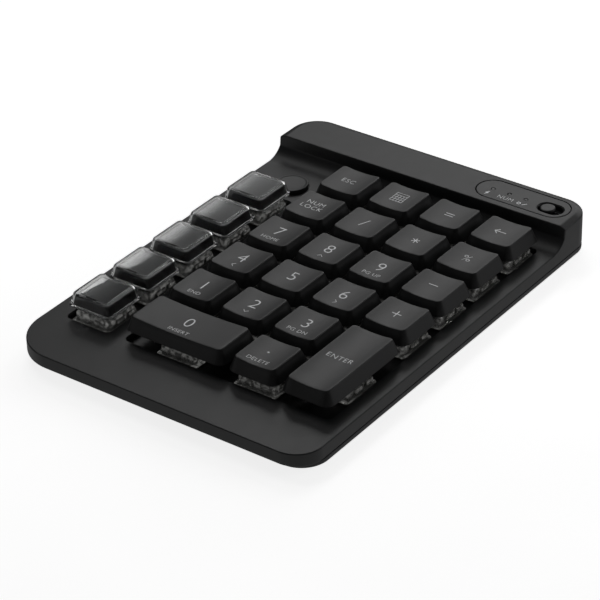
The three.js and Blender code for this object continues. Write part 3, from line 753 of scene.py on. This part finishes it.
def clear_cover(number):
    node = f"clear_cover_{number}"
    low, high = box_mm(node)
    x, y = ((low + high) / 2).xy
    height = COVER_HEIGHT

    def dipped(plan, z, share):
        return [Vector((px, py, z - share * cover_dip(px - x))) for px, py in plan]

    # The skirt's lip, the sloping wall, the rounded rim, then the top
    lip = [
        (-0.1, 0), (-SKIRT_LIP, 0.08), (-SKIRT_LIP, SKIRT_HEIGHT - 0.12), (-0.1, SKIRT_HEIGHT),
        (0, SKIRT_HEIGHT + 0.3),
    ]
    outer = [
        ring(cover_plan(x, y, rise / height, inset, COVER_CORNER - inset), low.z + rise)
        for inset, rise in soften(lip, 0.2, 3)
    ]
    rim = 0.55
    for step in range(7):
        angle = math.pi / 2 * step / 6
        inset = rim * (1 - math.cos(angle))
        rise = height - rim * (1 - math.sin(angle))
        plan = cover_plan(x, y, rise / height, inset, COVER_CORNER - inset * 0.8)
        outer.append(dipped(plan, low.z + rise, step / 6))
    for share in (0.9, 0.7, 0.45, 0.2, 0.03):
        full = cover_plan(x, y, 1, rim, COVER_CORNER - 0.5)
        plan = [(x + (px - x) * share, y + (py - y) * share) for px, py in full]
        outer.append(dipped(plan, high.z, 1))
    inner = []
    roof = height - COVER_WALL
    room = [(COVER_WALL, 0.0), (COVER_WALL, roof - COVER_SAG), (COVER_WALL + 0.5, roof - 0.1)]
    for inset, rise in soften(room, 0.4, 4):
        plan = cover_plan(x, y, rise / height, inset, COVER_CORNER - inset * 0.6)
        inner.append(ring(plan, low.z + rise))
    plan = cover_plan(x, y, roof / height, COVER_WALL + 0.9, COVER_CORNER - COVER_WALL)
    inner += dished_ceiling(x, y, plan, low.z + roof)
    rings = list(reversed(inner)) + outer
    cover = make(f"cover_{number}", [rings], SHELL_PLASTIC, 40)
    install(cover, f"clear_key_{number}", "clear_plastic", node)


def clear_base(number):
    """The dark cup inside a clear cover, with the switch's stem under its roof."""
    node = f"clear_key_base_{number}"
    low, high = box_mm(node)
    x, y = ((low + high) / 2).xy
    bottom = box_mm(f"clear_cover_{number}")[0].z
    slack = COVER_WALL + GAP
    room_top = HOUSING_TOP + KEY_TRAVEL + 2 * GAP
    roof = high.z - bottom
    outside = [(slack, 0), (slack, roof - COVER_SAG - 0.1), (slack + 0.5, roof - 0.1)]
    inner = slack + CUP_WALL
    inside = [(inner + 1, room_top - bottom), (inner, room_top - bottom), (inner, 0)]
    rings = []
    for inset, rise in soften(inside, 0.2, 2) + soften(outside, 0.4, 4):
        plan = cover_plan(x, y, rise / COVER_HEIGHT, inset, max(COVER_CORNER - inset, 0.2))
        rings.append(ring(plan, bottom + rise))
    plan = cover_plan(x, y, roof / COVER_HEIGHT, slack + 0.9, COVER_CORNER - slack)
    rings += dished_ceiling(x, y, plan, high.z)
    stem = stem_solid(x, y, low.z, room_top + 0.1)
    base = make(f"base_{number}", [rings, stem], BASE_PLASTIC)
    install(base, f"clear_key_{number}", "key_base_plastic", node)


clear_numbers = range(1, 6)
for number in clear_numbers:
    clear_cover(number)
    clear_base(number)

# ---- Switches --------------------------------------------------------------


def housing_solid(x, y, low):
    """A switch housing with its flange and stem well."""
    flange = (HOUSING_WIDTH - FLANGE_WIDTH) / 2
    profile = [
        (0, low), (0, FLANGE_HEIGHTS[0]), (flange, FLANGE_HEIGHTS[0]), (flange, FLANGE_HEIGHTS[1]),
        (0, FLANGE_HEIGHTS[1]), (0, HOUSING_TOP - HOUSING_CHAMFER),
        (HOUSING_CHAMFER, HOUSING_TOP), (HOUSING_CHAMFER + 0.6, HOUSING_TOP),
    ]
    rings = [
        ring(rounded_square(x, y, HOUSING_WIDTH - 2 * inset, HOUSING_CORNER), z)
        for inset, z in soften(profile, 0.18, 2)
    ]
    well = round_plan(x, y, STEM_RADIUS + 2 * GAP, 5)
    return rings + [ring(well, HOUSING_TOP), ring(well, low + 0.6)]


def clip_solids(x, y):
    """Four low clips on the left and right sides of a housing."""
    width = CLIP_DEPTH + 0.2
    reach = HOUSING_WIDTH / 2 + CLIP_DEPTH / 2 - 0.1
    solids = []
    for side in (-1, 1):
        for offset, length in CLIP_PLACES:
            plan = rounded_plan(x + side * reach, y + offset, width, length, [0.3] * 4, 3)
            solids.append(prism(plan, *CLIP_HEIGHTS))
    return solids


def web_solids(place, following, low):
    """The thin strip that joins two neighbouring housings of a bank."""
    (x, y), (next_x, next_y) = place, following
    strips = [(x, (y + next_y) / 2, WEB_WIDTH, abs(next_y - y) + WEB_WIDTH)]
    if abs(next_x - x) > 1:
        strips.append(((x + next_x) / 2, next_y, abs(next_x - x) + WEB_WIDTH, WEB_WIDTH))
    return [
        prism(rounded_plan(*strip, [0.5] * 4, 2), low, low + WEB_THICKNESS) for strip in strips
    ]


def switch_bank(node, places):
    low = box_mm(node)[0].z
    solids = []
    for x, y in places:
        solids += [housing_solid(x, y, low), *clip_solids(x, y)]
    for place, following in zip(places, places[1:]):
        solids += web_solids(place, following, low)
    bank = make(node.replace("bank", "housings"), solids, SWITCH_PLASTIC, 40)
    install(bank, CASE, "switch_plastic", node)


def key_places(nodes):
    return sorted((tuple(middle(node).xy) for node in nodes), key=lambda place: -place[1])


def column_of(node):
    """Counts from 1 at the left; a key two columns wide belongs to the left one."""
    across_keys = (middle(node).x - middle("key_escape").x) / KEY_PITCH
    return 1 + int(across_keys + 0.01)


for column in range(1, 5):
    in_column = [node for node in black_keys if column_of(node) == column]
    switch_bank(f"switch_bank_{column}", key_places(in_column))
switch_bank("clear_switch_bank", key_places(f"clear_cover_{n}" for n in clear_numbers))

# ---- Stabiliser wires ------------------------------------------------------


def wire(node, key, along):
    """A bent wire; `along` is the unit vector its bar runs along."""
    bar = Vector(along)
    reach = -bar.cross(Vector((0, 0, 1))) * WIRE_REACH
    key_centre = Vector((*middle(key).xy, 0))
    ends = []
    for side in (-1, 1):
        post = key_centre + bar * side * WIRE_POST_SPREAD
        pivot = post + reach + Vector((0, 0, WIRE_PIVOT_HEIGHT))
        elbow = post + Vector((0, 0, WIRE_TIP_HEIGHT))
        ends.append([elbow - bar * side * WIRE_HOOK, elbow, pivot])
    points = ends[0] + list(reversed(ends[1]))
    curve = bpy.data.curves.new(node.replace("stabiliser", "wire"), "CURVE")
    curve.dimensions = "3D"
    curve.bevel_depth = WIRE_RADIUS * MM
    curve.bevel_resolution = 4
    curve.use_fill_caps = True
    spline = curve.splines.new("POLY")
    spline.points.add(len(points) - 1)
    for control, point in zip(spline.points, points):
        control.co = (*(point * MM), 1)
    piece = bpy.data.objects.new(curve.name, curve)
    bpy.context.collection.objects.link(piece)
    curve.materials.append(WIRE_STEEL)
    install(piece, node, "wire_steel", node)


wire("zero_stabiliser", "key_0", (1, 0, 0))
wire("enter_stabiliser", "key_enter", (0, 1, 0))

# ---- Legends ---------------------------------------------------------------


def flat_text(words, height):
    """Text laid flat and centred, as a closed mesh in millimetres."""
    curve = bpy.data.curves.new("text", "FONT")
    curve.body = words
    curve.size = height / 0.7
    curve.align_x = "CENTER"
    curve.offset = -0.02 * height
    curve.space_character = 1.08
    curve.resolution_u = 4
    curve.extrude = LEGEND_THICKNESS / 2
    holder = bpy.data.objects.new("text", curve)
    data = bpy.data.meshes.new_from_object(holder)
    bpy.data.objects.remove(holder)
    return data


def strokes(lines, width):
    """Straight strokes of one width, as solids centred on z 0."""
    solids = []
    for start, end in lines:
        first, last = Vector(start), Vector(end)
        run = (last - first).normalized() * (width / 2)
        side = Vector((-run.y, run.x))
        plan = [first - run - side, last + run - side, last + run + side, first - run + side]
        solids.append(prism([tuple(p) for p in plan], -LEGEND_THICKNESS / 2, LEGEND_THICKNESS / 2))
    return solids


def legend_mesh(parts):
    """Joins text, centred on its own (x, y), and strokes, moved there from the origin."""
    whole = bmesh.new()
    for kind, content, size, (x, y) in parts:
        before = set(whole.verts)
        if kind == "text":
            data = flat_text(content, size)
            whole.from_mesh(data)
            bpy.data.meshes.remove(data)
        else:
            # loft_into makes metres of millimetres, and legends stay in millimetres here
            for rings in strokes(content, size):
                loft_into(whole, [[point / MM for point in points] for points in rings])
        added = [v for v in whole.verts if v not in before]
        if kind == "text":
            columns = [v.co.x for v in added]
            rows = [v.co.y for v in added]
            x -= (min(columns) + max(columns)) / 2
            y -= (min(rows) + max(rows)) / 2
        for v in added:
            v.co.x += x
            v.co.y += y
    bmesh.ops.remove_doubles(whole, verts=whole.verts, dist=1e-4)
    bmesh.ops.recalc_face_normals(whole, faces=whole.faces)
    return whole


def lay_legend(name, parts, origin, surface, body):
    """Lays a legend on a surface given as a height for each (x, y) from the origin."""
    mesh = legend_mesh(parts)
    for v in mesh.verts:
        x, y, z = v.co
        v.co = Vector((origin[0] + x, origin[1] + y, surface(x, y) + 0.02 + z)) * MM
    data = bpy.data.meshes.new(name)
    mesh.to_mesh(data)
    mesh.free()
    data.materials.append(LEGEND_INK)
    piece = bpy.data.objects.new(name, data)
    bpy.context.collection.objects.link(piece)
    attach(piece, body)


DIGIT = 4.6
SMALL = 1.55
WORD = 2.05
STROKE = 0.3
THIN = 0.17
LOW_Y = -4.5  # height on the key of the small second legend
CHEVRON = 0.85


def chevron(direction_x, direction_y):
    """Two strokes that meet at a point facing the given way."""
    tip = Vector((direction_x, direction_y)) * CHEVRON / 2
    side = Vector((-direction_y, direction_x)) * CHEVRON
    back = -tip
    return [(tuple(back + side), tuple(tip)), (tuple(back - side), tuple(tip))]


def calculator_icon():
    """A keypad drawn as a frame with a display line and a grid of keys."""
    half_x, half_y = 2.2, 2.5
    display = half_y / 2
    sides = [((x, -half_y), (x, half_y)) for x in (-half_x, half_x)]
    columns = [((x, -half_y), (x, display)) for x in (-half_x / 2, 0, half_x / 2)]
    rows = [((-half_x, y), (half_x, y)) for y in (-half_y, -display, 0, display, half_y)]
    return sides + columns + rows


def arrow_icon():
    return [((-1.9, 0), (1.9, 0)), ((-1.9, 0), (-0.7, 1.15)), ((-1.9, 0), (-0.7, -1.15))]


def digit_legend(digit, below=None):
    parts = [("text", digit, DIGIT, (0, 0.3))]
    if isinstance(below, str):
        parts.append(("text", below, SMALL, (-0.3, LOW_Y)))
    elif below:
        parts.append(("strokes", chevron(*below), THIN, (-0.3, LOW_Y + 0.2)))
    return parts


LEGENDS = {
    "escape": [("text", "ESC", WORD, (-0.4, 0))],
    "calculator": [("strokes", calculator_icon(), THIN, (0, 0.2))],
    "equals": [("strokes", [((-1.4, y), (1.4, y)) for y in (0.6, -0.6)], STROKE, (0, 0))],
    "backspace": [("strokes", arrow_icon(), STROKE, (-0.3, 0))],
    "num_lock": [("text", "NUM", WORD, (-0.6, 1.6)), ("text", "LOCK", WORD, (-0.6, -1.2))],
    "divide": [("strokes", [((-0.85, -1.95), (0.85, 1.95))], STROKE, (-0.3, 0.2))],
    "multiply": [("strokes", [
        ((0, -1.2), (0, 1.2)), ((-1.05, -0.6), (1.05, 0.6)), ((-1.05, 0.6), (1.05, -0.6)),
    ], STROKE, (-0.1, 0.1))],
    "percent": [("text", "%", 3.3, (-0.3, 0.2))],
    "minus": [("strokes", [((-1.45, 0), (1.45, 0))], STROKE, (-0.2, 0.6))],
    "plus": [("strokes", [((-1.5, 0), (1.5, 0)), ((0, -1.5), (0, 1.5))], STROKE, (-0.3, 0.2))],
    "7": digit_legend("7", "HOME"),
    "8": digit_legend("8", (0, 1)),
    "9": digit_legend("9", "PG UP"),
    "4": digit_legend("4", (-1, 0)),
    "5": digit_legend("5"),
    "6": digit_legend("6", (1, 0)),
    "1": digit_legend("1", "END"),
    "2": digit_legend("2", (0, -1)),
    "3": digit_legend("3", "PG DN"),
    "0": [("text", "0", DIGIT, (-0.4, 0.3)), ("text", "INSERT", SMALL, (-0.4, LOW_Y - 0.5))],
    "decimal": [
        ("strokes", [((-0.05, 0), (0.05, 0))], 0.55, (-0.3, 0.6)),
        ("text", "DELETE", SMALL, (-0.4, LOW_Y + 0.1)),
    ],
    "enter": [("text", "ENTER", WORD, (-0.3, 0))],
}


def key_legend(label):
    node = f"key_{label}"
    low, high = box_mm(node)
    centre = (low + high) / 2
    half_width = (high.x - low.x) / 2 - CAP_TAPER

    def surface(x, y):
        return high.z - dish_height(x, half_width)

    lay_legend(f"legend_{label}", LEGENDS[label], centre.xy, surface, node)


for label in LEGENDS:
    key_legend(label)


def panel_legend():
    panel = box_mm("status_panel")[1].z
    guide = middle("light_guide")
    row_y = guide.y - 3.05
    bolt = [((0.3, 1.0), (-0.35, -0.05)), ((-0.35, -0.05), (0.35, 0.05)), ((0.35, 0.05), (-0.3, -1.0))]
    link = [((-0.5, -0.35), (0.1, 0.25)), ((0.1, 0.25), (0.6, 0.75))]
    turns = [math.pi / 3 * k for k in range(7)]
    corners = [(0.6 * math.cos(turn), 0.6 * math.sin(turn)) for turn in turns]
    hexagon = list(zip(corners, corners[1:]))
    parts = [
        ("strokes", bolt, 0.3, (-LIGHT_SPACING - 0.4, 0)),
        ("text", "NUM", 1.75, (0.35, 0)),
        ("strokes", hexagon, 0.22, (LIGHT_SPACING - 0.7, -0.2)),
        ("strokes", link, 0.24, (LIGHT_SPACING + 1.2, -0.2)),
    ]
    lay_legend("panel_legend", parts, (guide.x, row_y), lambda x, y: panel, CASE)


panel_legend()

# ---- CAD nodes that keep their own shape -----------------------------------


def repaint(node, material):
    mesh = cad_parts[node].data
    mesh.materials.clear()
    mesh.materials.append(material)


repaint("switch_plate", PLATE_PAINT)
repaint("circuit_board", BOARD_MASK)
repaint("status_board", BOARD_MASK)
repaint("light_guide", GUIDE_PLASTIC)
repaint("usb_socket", SOCKET_STEEL)
repaint("battery", POUCH_FOIL)
repaint("flex_cable", RIBBON_FILM)
for corner in CORNERS:
    repaint(f"screw_{corner}", SCREW_STEEL)
    repaint(f"foot_{corner}", RUBBER)

# ---- Stage, light and camera -----------------------------------------------

FLOOR_POOL = (0.1, 0.26)  # metres from the object over which the floor's glow fades
FLOOR_GLOW = 0.32


def floor():
    """A pale floor. What the object mirrors of it is dimmer, and lit only close by."""
    bpy.ops.mesh.primitive_plane_add(size=12, location=(0, 0, -0.05 * MM))
    plane = bpy.context.object
    plane.name = "floor"
    surface = Surface("floor_paper")
    cloud = surface.ramp(surface.noise(6, 3), 0, 1)
    paper = surface.mix(cloud, (0.93, 0.93, 0.93), (0.9, 0.9, 0.9))
    seen = surface.tree.nodes.new("ShaderNodeLightPath").outputs["Is Camera Ray"]
    reach = surface.tree.nodes.new("ShaderNodeVectorMath")
    reach.operation = "LENGTH"
    surface.tree.links.new(surface.place, reach.inputs[0])
    pool = surface.ramp(reach.outputs["Value"], 1.0, 0.0, *FLOOR_POOL)
    glow = surface.mix(pool, (0, 0, 0), grey(FLOOR_GLOW))
    surface.feed("Base Color", surface.mix(seen, grey(0.12), paper))
    surface.feed("Emission Color", surface.mix(seen, glow, paper))
    surface.feed("Emission Strength", 0.9)
    surface.feed("Roughness", 0.9)
    surface.feed("Specular IOR Level", 0.1)
    plane.data.materials.append(surface.material)


def fade(light, axis, ends):
    """Makes an area light change smoothly between the strengths at two of its ends."""
    light.use_nodes = True
    nodes, links = light.node_tree.nodes, light.node_tree.links
    place = nodes.new("ShaderNodeNewGeometry")
    split = nodes.new("ShaderNodeSeparateXYZ")
    slope = nodes.new("ShaderNodeMapRange")
    slope.interpolation_type = "SMOOTHSTEP"
    slope.inputs["To Min"].default_value = ends[0]
    slope.inputs["To Max"].default_value = ends[1]
    links.new(place.outputs["Parametric"], split.inputs["Vector"])
    links.new(split.outputs[axis], slope.inputs["Value"])
    links.new(slope.outputs["Result"], nodes["Emission"].inputs["Strength"])


def soft_box(name, azimuth, elevation, distance, width, height, power):
    """A rectangular light aimed at the object from an azimuth and an elevation."""
    light = bpy.data.lights.new(name, "AREA")
    light.shape = "RECTANGLE"
    light.size = width
    light.size_y = height
    light.energy = power
    lamp = bpy.data.objects.new(name, light)
    bpy.context.collection.objects.link(lamp)
    turn, rise = math.radians(azimuth), math.radians(elevation)
    away = Vector((math.cos(turn) * math.cos(rise), math.sin(turn) * math.cos(rise), math.sin(rise)))
    lamp.location = away * distance
    lamp.rotation_euler = away.to_track_quat("Z", "Y").to_euler()
    return light


def studio():
    """Soft lights, strongest from the rear, in a dim world that the camera sees as white."""
    world = bpy.data.worlds.new("studio")
    bpy.context.scene.world = world
    world.use_nodes = True
    nodes, links = world.node_tree.nodes, world.node_tree.links
    light_path = nodes.new("ShaderNodeLightPath")
    mix = nodes.new("ShaderNodeMix")
    mix.data_type = "RGBA"
    mix.inputs["A"].default_value = (0.05, 0.05, 0.05, 1)
    mix.inputs["B"].default_value = (1, 1, 1, 1)
    links.new(light_path.outputs["Is Camera Ray"], mix.inputs["Factor"])
    links.new(mix.outputs["Result"], nodes["Background"].inputs["Color"])
    fade(soft_box("rear", 115, 25, 0.9, 0.76, 0.42, 2.05), "X", (1.0, 0.0))
    fade(soft_box("key_glint", 125.5, 36, 1.2, 0.27, 0.26, 1.3), "Y", (0.0, 1.0))
    soft_box("left_high", 154, 54, 0.9, 0.4, 0.22, 0.55)
    soft_box("right", 42, 18, 0.5, 0.3, 0.16, 0.2)
    soft_box("front_left", 232, 12, 0.45, 0.25, 0.15, 0.03)


def camera():
    """The viewpoint of the photo, found from the grid of keys."""
    azimuth, elevation, roll, distance = 36.84, 32.13, -1.54, 0.809
    data = bpy.data.cameras.new("camera")
    data.sensor_width = 36
    data.lens = 157.67
    data.clip_start = 0.01
    eye = bpy.data.objects.new("camera", data)
    bpy.context.collection.objects.link(eye)
    aim = Vector((-2.1, -1.5, 0)) * MM
    turn, rise = math.radians(azimuth), math.radians(elevation)
    back = Vector((math.sin(turn) * math.cos(rise), -math.cos(turn) * math.cos(rise), math.sin(rise)))
    spin = back.to_track_quat("Z", "Y").to_matrix().to_4x4() @ Matrix.Rotation(math.radians(roll), 4, "Z")
    eye.matrix_world = Matrix.Translation(aim + back * distance) @ spin
    bpy.context.scene.camera = eye


floor()
studio()
camera()
bpy.context.scene.view_settings.view_transform = "Standard"
